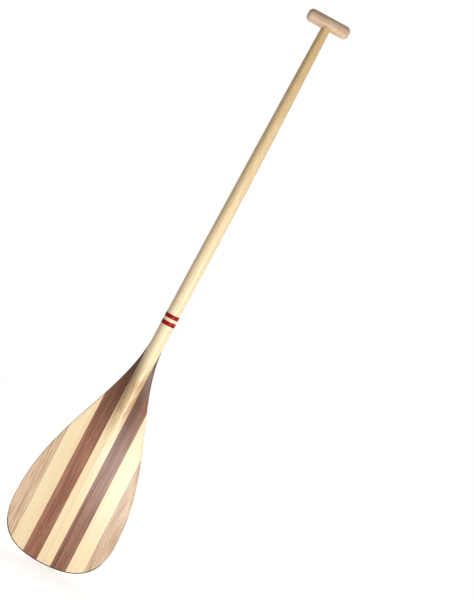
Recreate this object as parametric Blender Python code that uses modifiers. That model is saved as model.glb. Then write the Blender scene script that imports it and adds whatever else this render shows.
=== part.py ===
"""Bent shaft canoe paddle, made up as the real one is: a laminated shaft, glued blade strips, a tip guard.

The paddle stands upright on its line of pull. +Z runs from the tip of the blade up to the T grip, +X runs
across the blade, and +Y is the way the flat power face looks. The origin is on the middle line of the shaft,
where the lower hand holds it. All sizes are in metres.

A height is a distance up the bent middle line from the tip. A cross-section has x across the blade and
y towards the power face, both from the middle line.
"""
import math

import bmesh
import bpy
import numpy as np
from mathutils import Matrix, Vector

MM = 0.001

# Room left between two glued pieces
GLUE_GAP = 0.3 * MM

# The middle line, from the tip up to the top of the grip
BLADE_STRAIGHT = 392 * MM
LOWER_BEND_LENGTH = 224 * MM
MIDDLE_STRAIGHT = 266 * MM
UPPER_BEND_LENGTH = 171 * MM
GRIP_STRAIGHT = 268 * MM
LOWER_BEND_ANGLE = math.radians(14.5)
UPPER_BEND_ANGLE = math.radians(5.0)

# The oval shaft
SHAFT_WIDTH = 31.2 * MM
SHAFT_DEPTH = 31.0 * MM
GRIP_END_WIDTH = 20.8 * MM
GRIP_END_DEPTH = 26.4 * MM
TAPER_BOTTOM_BELOW_TOP = 670 * MM
TAPER_TOP_BELOW_TOP = 30 * MM

# The blade's outline, half of it, as two stretches of Bezier curve from the tip to the neck
BLADE_WIDTH = 244 * MM
WIDEST_HEIGHT = 110 * MM
NECK_HEIGHT = 540 * MM
TIP_HANDLE = 98 * MM
LOW_SIDE_HANDLE = 66 * MM
HIGH_SIDE_HANDLE = 173 * MM
NECK_HANDLE = 137 * MM

# The blade's thickness, measured from its flat power face
POWER_FACE_OFFSET = 10.7 * MM
BLADE_CENTRE_THICKNESS = 8.2 * MM
TIP_CENTRE_THICKNESS = 6.6 * MM
BLADE_EDGE_THICKNESS = 4.2 * MM
EDGE_ROUNDING = 2.3 * MM
FULL_THICKNESS_HEIGHT = 330 * MM

# The spine on the front face, and the shaft's back where it dies into the power face
SPINE_FULL_HEIGHT = 520 * MM
SPINE_END_HEIGHT = 195 * MM
SPINE_FOOT_HALF_WIDTH = 22 * MM
BACK_FULL_HEIGHT = 530 * MM
BACK_END_HEIGHT = 366 * MM
BACK_FOOT_HALF_WIDTH = 17 * MM
WING_FULL_BELOW_NECK = 80 * MM
FILLET_SHARPNESS = 3.0

# How full a bulge is across its width: half an oval at the shaft, a soft hump where it dies out
OVAL_FULLNESS = 0.5
FADED_FULLNESS = 1.5

# The wood strips of the blade, from the middle outwards
CENTRE_STRIP_WIDTH = 32 * MM
WALNUT_STRIP_WIDTH = 34.5 * MM
BASSWOOD_STRIP_WIDTH = 34.5 * MM

# The shaft's layers: five of one thickness, and two outer ones that are carved round
LAYER_THICKNESS = 4.4 * MM
LAYER_COUNT = 7

# The tip guard
GUARD_HEIGHT = 54 * MM
GUARD_RIM = 2.2 * MM
GUARD_PLATE = 2.5 * MM

# The two red bands
BAND_WIDTH = 9.5 * MM
BAND_THICKNESS = 0.5 * MM
BAND_SPACING = 17.0 * MM
LOWER_BAND_ABOVE_NECK = 36 * MM

# The T grip
GRIP_LENGTH = 99 * MM
GRIP_DIAMETER = 29.2 * MM
GRIP_END_ROUNDING = 11 * MM
SOCKET_DEPTH = 15.6 * MM
SOCKET_CLEARANCE = 0.3 * MM

# How finely the surfaces are cut up
SPINE_COLUMNS = 5
WING_COLUMNS = 3
RIM_COLUMNS = 3
TIP_STEPS = 10
SIDE_STEPS = 20
BEND_STEPS = 7
TAPER_STEPS = 8
CUTTER_BEND_STEPS = 9
GUARD_CUTTER_STEPS = 14
GRIP_SIDES = 40
GRIP_CORNER_STEPS = 6
OUTLINE_SAMPLES = 160
TIP_CROWDING = 1.3
LARGEST_RIM_SHARE = 0.3
LARGEST_FOOT_SHARE = 0.62
LEAST_RING_SPACING = 3 * MM
CUTTER_OVERRUN = 20 * MM
GUARD_CUTTER_REACH = 1.5 * GUARD_HEIGHT
WELD_DISTANCE = 0.01 * MM

# Values that follow from the ones above
HALF_COLUMNS = SPINE_COLUMNS + WING_COLUMNS + RIM_COLUMNS
STRETCHES = (
    (BLADE_STRAIGHT, 0.0),
    (LOWER_BEND_LENGTH, -LOWER_BEND_ANGLE),
    (MIDDLE_STRAIGHT, 0.0),
    (UPPER_BEND_LENGTH, UPPER_BEND_ANGLE),
    (GRIP_STRAIGHT, 0.0),
)
TOP_HEIGHT = sum(length for length, turn in STRETCHES)
GRIP_CENTRE_HEIGHT = TOP_HEIGHT - GRIP_DIAMETER / 2
SOCKET_TOP_HEIGHT = TOP_HEIGHT - GRIP_DIAMETER + SOCKET_DEPTH
SHAFT_END_HEIGHT = SOCKET_TOP_HEIGHT - GLUE_GAP
HOLD_HEIGHT = BLADE_STRAIGHT + LOWER_BEND_LENGTH + MIDDLE_STRAIGHT / 2
BAND_BOTTOMS = (NECK_HEIGHT + LOWER_BAND_ABOVE_NECK, NECK_HEIGHT + LOWER_BAND_ABOVE_NECK + BAND_SPACING)
EDGE_OFFSET = POWER_FACE_OFFSET - BLADE_EDGE_THICKNESS / 2
BOARD_HALF_LENGTH = TOP_HEIGHT
BOARD_HALF_DEPTH = 8 * SHAFT_DEPTH

BASSWOOD = (0.86, 0.72, 0.47)
WALNUT = (0.27, 0.13, 0.08)
CEDAR = (0.72, 0.47, 0.29)
GRIP_WOOD = (0.62, 0.41, 0.29)
BAND_RED = (0.40, 0.01, 0.012)
GUARD_BROWN = (0.045, 0.012, 0.008)
VARNISH_ROUGHNESS = 0.35
OILED_ROUGHNESS = 0.45
TAPE_ROUGHNESS = 0.4
RESIN_ROUGHNESS = 0.3


def smooth(low, high, value):
    """Rise gently from 0 at low to 1 at high."""
    part = min(max((value - low) / (high - low), 0.0), 1.0)
    return part * part * (3 - 2 * part)


def follow_line(height, lean):
    """Go up the middle line from the tip. Return the place reached, as (y, z), and the lean there."""
    y = 0.0
    z = 0.0
    left = height
    for length, turn in STRETCHES:
        gone = min(left, length)
        half_turn = turn * gone / length / 2
        chord = gone * float(np.sinc(half_turn / math.pi))
        y += chord * math.sin(lean + half_turn)
        z += chord * math.cos(lean + half_turn)
        lean += 2 * half_turn
        left -= gone
    y += left * math.sin(lean)
    z += left * math.cos(lean)
    return y, z, lean


def blade_lean():
    """Return the blade's lean that puts the tip and the top of the grip on one upright line."""
    y, z, lean = follow_line(TOP_HEIGHT, 0.0)
    return -math.atan2(y, z)


def station(height):
    """Return the matrix that puts a cross-section at this height, with its z along the middle line."""
    y, z, lean = follow_line(height, blade_lean())
    hold_y, hold_z, hold_lean = follow_line(HOLD_HEIGHT, blade_lean())
    place = Matrix.Translation((0.0, y - hold_y, z - hold_z))
    return place @ Matrix.Rotation(-lean, 4, "X")


def bezier(start, handle_a, handle_b, end, part):
    """Return the point and the direction of a Bezier curve at a share of its run."""
    rest = 1 - part
    point = rest**3 * start + 3 * rest**2 * part * handle_a + 3 * rest * part**2 * handle_b + part**3 * end
    first, middle, last = handle_a - start, handle_b - handle_a, end - handle_b
    direction = rest**2 * first + 2 * rest * part * middle + part**2 * last
    return point, direction


def outline_curves():
    """Return the two stretches of the half outline, as points (half width, height)."""
    tip = Vector((0.0, 0.0))
    widest = Vector((BLADE_WIDTH / 2, WIDEST_HEIGHT))
    neck = Vector((SHAFT_WIDTH / 2, NECK_HEIGHT))
    low = (tip, tip + Vector((TIP_HANDLE, 0.0)), widest - Vector((0.0, LOW_SIDE_HANDLE)), widest)
    high = (widest, widest + Vector((0.0, HIGH_SIDE_HANDLE)), neck - Vector((0.0, NECK_HANDLE)), neck)
    return low, high


def outline_points():
    """Return the half outline from the tip to the neck: half width, height, and how fast it widens."""
    low, high = outline_curves()
    rows = []
    for curve, steps, crowding in ((low, TIP_STEPS, TIP_CROWDING), (high, SIDE_STEPS, 1.0)):
        for step in range(1, steps + 1):
            point, direction = bezier(*curve, (step / steps) ** crowding)
            spread = abs(direction.x) / max(direction.y, 1e-6)
            rows.append((point.x, point.y, spread))
    return rows


def fine_outline():
    """Return many points of the half outline, for measuring distances to it."""
    shares = [step / OUTLINE_SAMPLES for step in range(OUTLINE_SAMPLES + 1)]
    points = [bezier(*curve, share)[0] for curve in outline_curves() for share in shares]
    return np.array([(point.x, point.y) for point in points])


OUTLINE = fine_outline()


def edge_distance(x, height):
    """Return how far a point of the blade is from the outline's nearest edge."""
    starts = OUTLINE[:-1]
    runs = OUTLINE[1:] - starts
    gaps = np.array((abs(x), height)) - starts
    lengths = np.maximum((runs * runs).sum(axis=1), 1e-18)
    along = np.clip((gaps * runs).sum(axis=1) / lengths, 0.0, 1.0)
    return float(np.linalg.norm(gaps - runs * along[:, None], axis=1).min())


def shaft_half_size(height):
    """Return the shaft's half width and half depth at a height. Its taper quickens towards the grip."""
    above_start = height - (TOP_HEIGHT - TAPER_BOTTOM_BELOW_TOP)
    share = min(max(above_start / (TAPER_BOTTOM_BELOW_TOP - TAPER_TOP_BELOW_TOP), 0.0), 1.0)
    thin = share * share
    width = SHAFT_WIDTH + (GRIP_END_WIDTH - SHAFT_WIDTH) * thin
    depth = SHAFT_DEPTH + (GRIP_END_DEPTH - SHAFT_DEPTH) * thin
    return width / 2, depth / 2


def swell(x, half_width, left):
    """Return how high a bulge stands at x, from 1 on the middle line to 0 at the half width.

    Left is how much of the bulge there still is: 1 is the whole oval of the shaft, 0 a hump that has died out.
    """
    share = min(abs(x) / half_width, 1.0)
    return (1 - share * share) ** (OVAL_FULLNESS * left + FADED_FULLNESS * (1 - left))


def join_heights(first, second):
    """Join two surfaces into one with a fillet between them."""
    return (first**FILLET_SHARPNESS + second**FILLET_SHARPNESS) ** (1 / FILLET_SHARPNESS)


def blade_columns(half_width, spread):
    """Return the x of each column of points, from the middle to the edge, over the blade."""
    rim = min(EDGE_ROUNDING * math.hypot(1.0, spread), LARGEST_RIM_SHARE * half_width)
    foot = min(SPINE_FOOT_HALF_WIDTH, LARGEST_FOOT_SHARE * half_width)
    inner = half_width - rim
    columns = [foot * step / SPINE_COLUMNS for step in range(SPINE_COLUMNS)]
    columns += [foot + (inner - foot) * step / WING_COLUMNS for step in range(WING_COLUMNS)]
    columns += [inner + rim * math.sin(math.pi / 2 * step / RIM_COLUMNS) for step in range(RIM_COLUMNS + 1)]
    return columns


def round_columns(half_width):
    """Return the x of each column of points, from the middle to the side, round the shaft."""
    return [half_width * math.sin(math.pi / 2 * step / HALF_COLUMNS) for step in range(HALF_COLUMNS + 1)]


def blade_half_section(half_width, height, spread):
    """Return x, front y and back y of each column of the blade and its spine."""
    shaft_width, shaft_depth = shaft_half_size(height)
    winged = smooth(NECK_HEIGHT, NECK_HEIGHT - WING_FULL_BELOW_NECK, height)
    edge_y = EDGE_OFFSET * winged
    front_left = 1 - smooth(SPINE_FULL_HEIGHT, SPINE_END_HEIGHT, height)
    back_left = 1 - smooth(BACK_FULL_HEIGHT, BACK_END_HEIGHT, height)
    spine_width = SPINE_FOOT_HALF_WIDTH + (shaft_width - SPINE_FOOT_HALF_WIDTH) * front_left
    back_width = BACK_FOOT_HALF_WIDTH + (shaft_width - BACK_FOOT_HALF_WIDTH) * back_left
    full = smooth(0.0, FULL_THICKNESS_HEIGHT, height)
    centre = TIP_CENTRE_THICKNESS + (BLADE_CENTRE_THICKNESS - TIP_CENTRE_THICKNESS) * full
    flat = blade_columns(half_width, spread)
    oval = round_columns(half_width)
    rows = []
    for flat_x, oval_x in zip(flat, oval):
        x = oval_x + (flat_x - oval_x) * winged
        rim_share = min(edge_distance(x, height) / EDGE_ROUNDING, 1.0)
        nose = winged * math.sqrt(1 - (1 - rim_share) ** 2)
        crown = max(1 - 2 * x / BLADE_WIDTH, 0.0)
        wing_front = (BLADE_EDGE_THICKNESS / 2 + (centre - BLADE_EDGE_THICKNESS) * crown) * nose
        wing_back = BLADE_EDGE_THICKNESS / 2 * nose
        spine = (shaft_depth + edge_y) * front_left * swell(x, spine_width, front_left)
        back = (shaft_depth - edge_y) * back_left * swell(x, back_width, back_left)
        rows.append((x, edge_y - join_heights(wing_front, spine), edge_y + join_heights(wing_back, back)))
    return rows


def shaft_half_section(height, grow=0.0):
    """Return x, front y and back y of each column of the oval shaft, with room added all round."""
    half_width, half_depth = shaft_half_size(height)
    angles = [math.pi / 2 * step / HALF_COLUMNS for step in range(HALF_COLUMNS + 1)]
    rows = []
    for angle in angles:
        y = (half_depth + grow) * math.cos(angle)
        rows.append(((half_width + grow) * math.sin(angle), -y, y))
    return rows


def whole_ring(half_section):
    """Turn one half section into the closed ring of points round the whole section."""
    front = [(x, front_y) for x, front_y, back_y in half_section]
    back = [(x, back_y) for x, front_y, back_y in half_section[:-1]]
    right = front + back[::-1]
    left = [(-x, y) for x, y in right[1:-1]]
    return right + left[::-1]


def raised_ring(ring, height):
    """Place a ring of section points at its height."""
    matrix = station(height)
    return [matrix @ Vector((x, y, 0.0)) for x, y in ring]


def shaft_heights():
    """Return the heights of the shaft's sections, above the neck."""
    lower_end = BLADE_STRAIGHT + LOWER_BEND_LENGTH
    upper_start = lower_end + MIDDLE_STRAIGHT
    upper_end = upper_start + UPPER_BEND_LENGTH
    heights = [BLADE_STRAIGHT + LOWER_BEND_LENGTH * step / BEND_STEPS for step in range(1, BEND_STEPS + 1)]
    heights += [upper_start + UPPER_BEND_LENGTH * step / BEND_STEPS for step in range(BEND_STEPS + 1)]
    taper_run = TAPER_BOTTOM_BELOW_TOP - TAPER_TOP_BELOW_TOP
    taper_start = TOP_HEIGHT - TAPER_BOTTOM_BELOW_TOP
    heights += [taper_start + taper_run * step / TAPER_STEPS for step in range(TAPER_STEPS + 1)]
    for bottom in BAND_BOTTOMS:
        heights += [bottom, bottom + BAND_WIDTH]
    heights.append(SHAFT_END_HEIGHT)
    kept = []
    bands = [edge for bottom in BAND_BOTTOMS for edge in (bottom, bottom + BAND_WIDTH)]
    for height in sorted(heights):
        if height <= NECK_HEIGHT + LEAST_RING_SPACING or height > SHAFT_END_HEIGHT:
            continue
        if kept and height - kept[-1] < LEAST_RING_SPACING and height not in bands:
            continue
        kept.append(height)
    return kept


def blank_rings():
    """Return the rings of the whole carved paddle without its grip, from the tip to the shaft's end."""
    rings = []
    for half_width, height, spread in outline_points():
        rings.append(raised_ring(whole_ring(blade_half_section(half_width, height, spread)), height))
    for height in shaft_heights():
        rings.append(raised_ring(whole_ring(shaft_half_section(height)), height))
    return rings


def loft(name, rings, capped=True):
    """Make a mesh through rings of points, each with as many points as the next."""
    shape = bmesh.new()
    levels = [[shape.verts.new(point) for point in ring] for ring in rings]
    count = len(levels[0])
    for lower, upper in zip(levels, levels[1:]):
        for place in range(count):
            beside = (place + 1) % count
            shape.faces.new((lower[place], lower[beside], upper[beside], upper[place]))
    if capped:
        shape.faces.new(levels[0][::-1])
        shape.faces.new(levels[-1])
    bmesh.ops.recalc_face_normals(shape, faces=shape.faces)
    mesh = bpy.data.meshes.new(name)
    shape.to_mesh(mesh)
    shape.free()
    return mesh


def add_object(name, mesh, collection, matrix=Matrix.Identity(4)):
    """Add a mesh object to a collection at a place."""
    item = bpy.data.objects.new(name, mesh)
    item.matrix_world = matrix
    collection.objects.link(item)
    return item


def add_cutter(name, mesh, cutters, matrix=Matrix.Identity(4)):
    """Add a hidden shape that only cuts others."""
    item = add_object(name, mesh, cutters, matrix)
    item.hide_render = True
    item.display_type = "WIRE"
    return item


def boolean(item, cutter, operation):
    """Cut an object with another, or keep only what lies inside it."""
    cut = item.modifiers.new(operation.lower() + "_" + cutter.name, "BOOLEAN")
    cut.operation = operation
    cut.object = cutter
    return cut


def paint(item, name, colour, roughness):
    """Give an object its own material."""
    material = bpy.data.materials.new(name)
    material.use_nodes = True
    shader = material.node_tree.nodes["Principled BSDF"]
    shader.inputs["Base Color"].default_value = (*colour, 1.0)
    shader.inputs["Roughness"].default_value = roughness
    shader.inputs["Metallic"].default_value = 0.0
    item.data.materials.append(material)


def box_cutter(name, low, high, cutters, matrix=Matrix.Identity(4)):
    """Add a box between two corners as a cutter."""
    shape = bmesh.new()
    low = Vector(low)
    high = Vector(high)
    size = high - low
    place = Matrix.Translation((low + high) / 2) @ Matrix.Diagonal((*size, 1.0))
    bmesh.ops.create_cube(shape, size=1.0, matrix=place)
    mesh = bpy.data.meshes.new(name)
    shape.to_mesh(mesh)
    shape.free()
    return add_cutter(name, mesh, cutters, matrix)


def cutter_heights():
    """Return the heights at which a cutter that follows the middle line turns."""
    lower_end = BLADE_STRAIGHT + LOWER_BEND_LENGTH
    upper_start = lower_end + MIDDLE_STRAIGHT
    heights = [-CUTTER_OVERRUN]
    for start, length in ((BLADE_STRAIGHT, LOWER_BEND_LENGTH), (upper_start, UPPER_BEND_LENGTH)):
        heights += [start + length * step / CUTTER_BEND_STEPS for step in range(CUTTER_BEND_STEPS + 1)]
    heights.append(TOP_HEIGHT + CUTTER_OVERRUN)
    return heights


def layer_limits(layer):
    """Return the y of a layer's two faces, where layer 0 is the outermost one on the front."""
    outside = SHAFT_DEPTH
    first = -LAYER_THICKNESS * LAYER_COUNT / 2
    low = first + LAYER_THICKNESS * layer + GLUE_GAP / 2
    high = first + LAYER_THICKNESS * (layer + 1) - GLUE_GAP / 2
    if layer == 0:
        low = -outside
    if layer == LAYER_COUNT - 1:
        high = outside
    return low, high


def layer_cutter(layer, cutters):
    """Add the curved board that one layer of the shaft is carved from."""
    low, high = layer_limits(layer)
    side = (CENTRE_STRIP_WIDTH - GLUE_GAP) / 2
    corners = [(-side, low), (side, low), (side, high), (-side, high)]
    rings = [raised_ring(corners, height) for height in cutter_heights()]
    name = "layer_%d_board" % (layer + 1)
    return add_cutter(name, loft(name, rings), cutters)


def inset_outline(inset):
    """Return the blade's outline moved inwards, all the way round the tip up to past the guard."""
    low, high = outline_curves()
    points = []
    for curve in (low, high):
        for step in range(GUARD_CUTTER_STEPS):
            point, direction = bezier(*curve, step / GUARD_CUTTER_STEPS)
            inwards = Vector((-direction.y, direction.x)).normalized()
            points.append(point + inwards * inset)
    reach = [point for point in points if point.y < GUARD_CUTTER_REACH and point.x > 0.0]
    mirrored = [Vector((-point.x, point.y)) for point in reach]
    return mirrored[::-1] + [points[0]] + reach


def core_cutter(name, inset, lap, cutters):
    """Add the prism of wood that the tip guard wraps: inside its rim, and in front of its plate."""
    depth = SHAFT_DEPTH
    curve = bpy.data.curves.new(name, "CURVE")
    curve.dimensions = "2D"
    curve.fill_mode = "BOTH"
    curve.extrude = (lap + depth) / 2
    points = inset_outline(inset)
    spline = curve.splines.new("POLY")
    spline.points.add(len(points) - 1)
    for place, point in zip(spline.points, points):
        place.co = (point.x, point.y, 0.0, 1.0)
    spline.use_cyclic_u = True
    flat = bpy.data.objects.new(name + "_outline", curve)
    cutters.objects.link(flat)
    evaluated = flat.evaluated_get(bpy.context.evaluated_depsgraph_get())
    mesh = bpy.data.meshes.new_from_object(evaluated)
    bpy.data.objects.remove(flat)
    bpy.data.curves.remove(curve)
    shape = bmesh.new()
    shape.from_mesh(mesh)
    bmesh.ops.remove_doubles(shape, verts=shape.verts, dist=WELD_DISTANCE)
    upright = Matrix.Translation((0.0, (lap - depth) / 2, 0.0)) @ Matrix.Rotation(math.radians(90), 4, "X")
    bmesh.ops.transform(shape, matrix=upright, verts=shape.verts)
    bmesh.ops.recalc_face_normals(shape, faces=shape.faces)
    shape.to_mesh(mesh)
    shape.free()
    mesh.name = name
    return add_cutter(name, mesh, cutters, station(0.0))


def make_tip_cutters(cutters):
    """Add the shapes that part the tip guard from the wood it wraps."""
    lap = POWER_FACE_OFFSET - GUARD_PLATE
    low = (-BLADE_WIDTH, -SHAFT_DEPTH, -CUTTER_OVERRUN)
    guard_top = (BLADE_WIDTH, SHAFT_DEPTH, GUARD_HEIGHT - GLUE_GAP)
    guard_room = box_cutter("guard_room", low, guard_top, cutters, station(0.0))
    boolean(guard_room, core_cutter("guard_hollow", GUARD_RIM, lap, cutters), "DIFFERENCE")
    rebate_top = (BLADE_WIDTH, SHAFT_DEPTH, GUARD_HEIGHT)
    rebate = box_cutter("guard_rebate", low, rebate_top, cutters, station(0.0))
    tongue = core_cutter("wood_tongue", GUARD_RIM + GLUE_GAP, lap - GLUE_GAP, cutters)
    boolean(rebate, tongue, "DIFFERENCE")
    return guard_room, rebate


def rebate_tip(blank, rebate, cutters):
    """Return the carved paddle's mesh with the wood taken away where the tip guard sits."""
    item = add_object("wood_blank", blank.copy(), cutters)
    boolean(item, rebate, "DIFFERENCE")
    evaluated = item.evaluated_get(bpy.context.evaluated_depsgraph_get())
    wood = bpy.data.meshes.new_from_object(evaluated)
    bpy.data.objects.remove(item)
    return wood


def make_shaft(wood_blank, parts, cutters):
    """Make the layers of the shaft, which run on as the blade's centre strip."""
    for layer in range(LAYER_COUNT):
        name = "shaft_layer_%d" % (layer + 1)
        item = add_object(name, wood_blank.copy(), parts)
        boolean(item, layer_cutter(layer, cutters), "INTERSECT")
        paint(item, name + "_basswood", BASSWOOD, VARNISH_ROUGHNESS)


def make_strips(wood_blank, parts, cutters):
    """Make the blade's side strips, in pairs from the middle outwards."""
    woods = (
        ("walnut_strip", WALNUT_STRIP_WIDTH, WALNUT),
        ("basswood_strip", BASSWOOD_STRIP_WIDTH, BASSWOOD),
        ("cedar_edge_strip", BLADE_WIDTH, CEDAR),
    )
    inside = CENTRE_STRIP_WIDTH / 2
    for wood, width, colour in woods:
        outside = inside + width
        near = inside + GLUE_GAP / 2
        far = outside - GLUE_GAP / 2
        for side, low, high in (("left", -far, -near), ("right", near, far)):
            name = "%s_%s" % (wood, side)
            item = add_object(name, wood_blank.copy(), parts)
            low_corner = (low, -BOARD_HALF_DEPTH, -BOARD_HALF_LENGTH)
            high_corner = (high, BOARD_HALF_DEPTH, BOARD_HALF_LENGTH)
            board = box_cutter(name + "_board", low_corner, high_corner, cutters)
            boolean(item, board, "INTERSECT")
            paint(item, name + "_wood", colour, VARNISH_ROUGHNESS)
        inside = outside


def make_tip_guard(blank, guard_room, parts):
    """Make the guard round the tip: a rim, and a plate let into the power face."""
    item = add_object("tip_guard", blank.copy(), parts)
    boolean(item, guard_room, "INTERSECT")
    paint(item, "tip_guard_resin", GUARD_BROWN, RESIN_ROUGHNESS)


def make_bands(parts):
    """Make the two red bands round the shaft above the neck."""
    for name, bottom in zip(("lower_band", "upper_band"), BAND_BOTTOMS):
        rings = []
        for height in (bottom, bottom + BAND_WIDTH):
            half_section = shaft_half_section(height, GLUE_GAP)
            rings.append(raised_ring(whole_ring(half_section), height))
        item = add_object(name, loft(name, rings, capped=False), parts)
        wall = item.modifiers.new("tape", "SOLIDIFY")
        wall.thickness = BAND_THICKNESS
        wall.offset = 1.0
        wall.use_even_offset = True
        paint(item, name + "_tape", BAND_RED, TAPE_ROUGHNESS)


def grip_profile():
    """Return the grip bar's half outline, from its upper end to its lower one, as (radius, place)."""
    half_length = GRIP_LENGTH / 2
    radius = GRIP_DIAMETER / 2
    flat = radius - GRIP_END_ROUNDING
    straight = half_length - GRIP_END_ROUNDING
    corner = []
    for step in range(GRIP_CORNER_STEPS + 1):
        angle = math.pi / 2 * step / GRIP_CORNER_STEPS
        outwards = GRIP_END_ROUNDING * math.sin(angle)
        endwards = GRIP_END_ROUNDING * math.cos(angle)
        corner.append((flat + outwards, straight + endwards))
    upper = [(0.0, half_length)] + corner
    return upper + [(radius_here, -place) for radius_here, place in reversed(upper)]


def make_grip(parts, cutters):
    """Make the T grip, which lifts off the shaft's end, and the empty on its line of travel."""
    lift = bpy.data.objects.new("grip_lift", None)
    lift.matrix_world = station(SHAFT_END_HEIGHT)
    parts.objects.link(lift)
    profile = bmesh.new()
    points = [profile.verts.new((radius, 0.0, place)) for radius, place in grip_profile()]
    for start, end in zip(points, points[1:]):
        profile.edges.new((start, end))
    mesh = bpy.data.meshes.new("t_grip")
    profile.to_mesh(mesh)
    profile.free()
    across = Matrix.Rotation(math.radians(90), 4, "Y")
    item = add_object("t_grip", mesh, parts, station(GRIP_CENTRE_HEIGHT) @ across)
    turn = item.modifiers.new("turned", "SCREW")
    turn.angle = math.tau
    turn.steps = GRIP_SIDES
    turn.render_steps = GRIP_SIDES
    turn.use_merge_vertices = True
    turn.merge_threshold = WELD_DISTANCE
    ring = whole_ring(shaft_half_section(SHAFT_END_HEIGHT, SOCKET_CLEARANCE))
    heights = (TOP_HEIGHT - 2 * GRIP_DIAMETER, SOCKET_TOP_HEIGHT)
    socket = loft("grip_socket", [raised_ring(ring, height) for height in heights])
    boolean(item, add_cutter("grip_socket", socket, cutters), "DIFFERENCE")
    paint(item, "t_grip_wood", GRIP_WOOD, OILED_ROUGHNESS)
    bpy.context.view_layer.update()
    world = item.matrix_world.copy()
    item.parent = lift
    item.matrix_parent_inverse = lift.matrix_world.inverted()
    item.matrix_world = world


def clear_scene():
    """Remove every object and collection that is already in the scene."""
    for item in list(bpy.data.objects):
        bpy.data.objects.remove(item)
    for collection in list(bpy.data.collections):
        bpy.data.collections.remove(collection)


def add_collection(name):
    """Add a collection to the scene."""
    collection = bpy.data.collections.new(name)
    bpy.context.scene.collection.children.link(collection)
    return collection


def main():
    """Build the paddle."""
    clear_scene()
    parts = add_collection("bent_shaft_paddle")
    cutters = add_collection("cutters")
    blank = loft("carved_paddle", blank_rings())
    blank.shade_smooth()
    guard_room, rebate = make_tip_cutters(cutters)
    wood_blank = rebate_tip(blank, rebate, cutters)
    make_shaft(wood_blank, parts, cutters)
    make_strips(wood_blank, parts, cutters)
    make_tip_guard(blank, guard_room, parts)
    make_bands(parts)
    make_grip(parts, cutters)
    bpy.data.meshes.remove(blank)
    bpy.data.meshes.remove(wood_blank)


main()
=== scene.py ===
"""Looks of a bent shaft canoe paddle, built round its packed CAD model.

The paddle is carved straight and bent last. A blank is carved from a cylinder, with z as the height up the
middle line from the tip, x across the blade and y towards the flat power face. The blank is sawn into the
boards that the real paddle is glued up from. Each board is then bent along the middle line, to where its CAD
node is.
All sizes are in metres.
"""
import math

import bmesh
import bpy
import numpy as np
from mathutils import Matrix, Vector


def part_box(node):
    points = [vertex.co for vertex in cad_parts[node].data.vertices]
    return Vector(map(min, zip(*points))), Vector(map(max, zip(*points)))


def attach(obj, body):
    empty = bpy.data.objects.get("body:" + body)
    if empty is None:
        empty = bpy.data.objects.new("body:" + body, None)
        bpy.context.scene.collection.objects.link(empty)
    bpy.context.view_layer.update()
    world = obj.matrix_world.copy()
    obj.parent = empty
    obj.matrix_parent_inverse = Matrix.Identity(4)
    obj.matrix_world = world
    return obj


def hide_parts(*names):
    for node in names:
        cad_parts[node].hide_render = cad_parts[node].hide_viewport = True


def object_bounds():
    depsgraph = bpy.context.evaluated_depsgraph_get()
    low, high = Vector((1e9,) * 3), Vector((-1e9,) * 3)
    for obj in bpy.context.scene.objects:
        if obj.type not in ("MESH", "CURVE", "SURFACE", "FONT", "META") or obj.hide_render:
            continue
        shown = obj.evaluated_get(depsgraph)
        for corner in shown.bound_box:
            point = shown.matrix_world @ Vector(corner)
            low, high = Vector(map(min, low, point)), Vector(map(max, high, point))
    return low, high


bl_info = {
    "name": "Bent Shaft Canoe Paddle",
    "version": (1, 0, 0),
    "blender": (4, 5, 0),
    "location": "View3D > Sidebar > Paddle",
    "description": "Makes the finished pieces of a bent shaft canoe paddle round its packed CAD model",
    "category": "Object",
}

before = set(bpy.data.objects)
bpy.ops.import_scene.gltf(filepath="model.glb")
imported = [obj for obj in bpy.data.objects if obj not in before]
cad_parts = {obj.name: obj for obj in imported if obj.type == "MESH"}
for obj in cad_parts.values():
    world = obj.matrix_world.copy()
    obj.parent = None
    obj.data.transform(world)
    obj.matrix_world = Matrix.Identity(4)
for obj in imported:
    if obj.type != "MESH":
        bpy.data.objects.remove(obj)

MM = 0.001
QUARTER_TURN = math.pi / 2
CAD_LOW, CAD_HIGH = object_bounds()

# The photograph's frame, and where the middle of the tip and of the grip's top lie in it, in pixels
PHOTO_SIZE = (474, 600)
TIP_PIXEL = (42.5, 564.2)
GRIP_TOP_PIXEL = (331.6, 18.0)

# How finely the blank is cut up: in columns round it, and by two rows of cuts into rings along it. Each row
# of cuts makes one more part than it has cuts. The shaft gets the rings that the blade leaves
SPINE_COLUMNS = 14
WING_COLUMNS = 12
RIM_COLUMNS = 6
HALF_COLUMNS = SPINE_COLUMNS + WING_COLUMNS + RIM_COLUMNS
FIRST_CUTS = 17
SECOND_CUTS = 14
ALL_RINGS = (FIRST_CUTS + 1) * (SECOND_CUTS + 1) + 1
TIP_RINGS = 50
SIDE_RINGS = 120
SHAFT_RINGS = ALL_RINGS - TIP_RINGS - SIDE_RINGS
TIP_CROWDING = 1.3
OUTLINE_SAMPLES = 160
WHOLE_BLANK = "straight_blank"

# The most of the blade's half width that the rounding of the edge and the spine's foot may take
LARGEST_RIM_SHARE = 0.3
LARGEST_FOOT_SHARE = 0.62

# A face with more corners than this is a sawn one that runs along a board
FLAT_CORNERS = 5

# The least distances that count, when edges are picked, boards are sawn and directions are divided
SLICE_REACH = 0.001 * MM
SAW_THRESHOLD = 0.0001 * MM
LEAST_SQUARED_RUN = 1e-18
LEAST_WAY = 1e-6

# Faces that meet at less than this are smoothed into each other
SMOOTH_ANGLE = math.radians(32)

# The cutter for the tip guard: its outline, and how far it runs on past the wood
GUARD_OUTLINE_STEPS = 40
GUARD_CUTTER_REACH = 1.5
ROOM_SPREAD = 2
CUTTER_OVERRUN = 20 * MM

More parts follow.
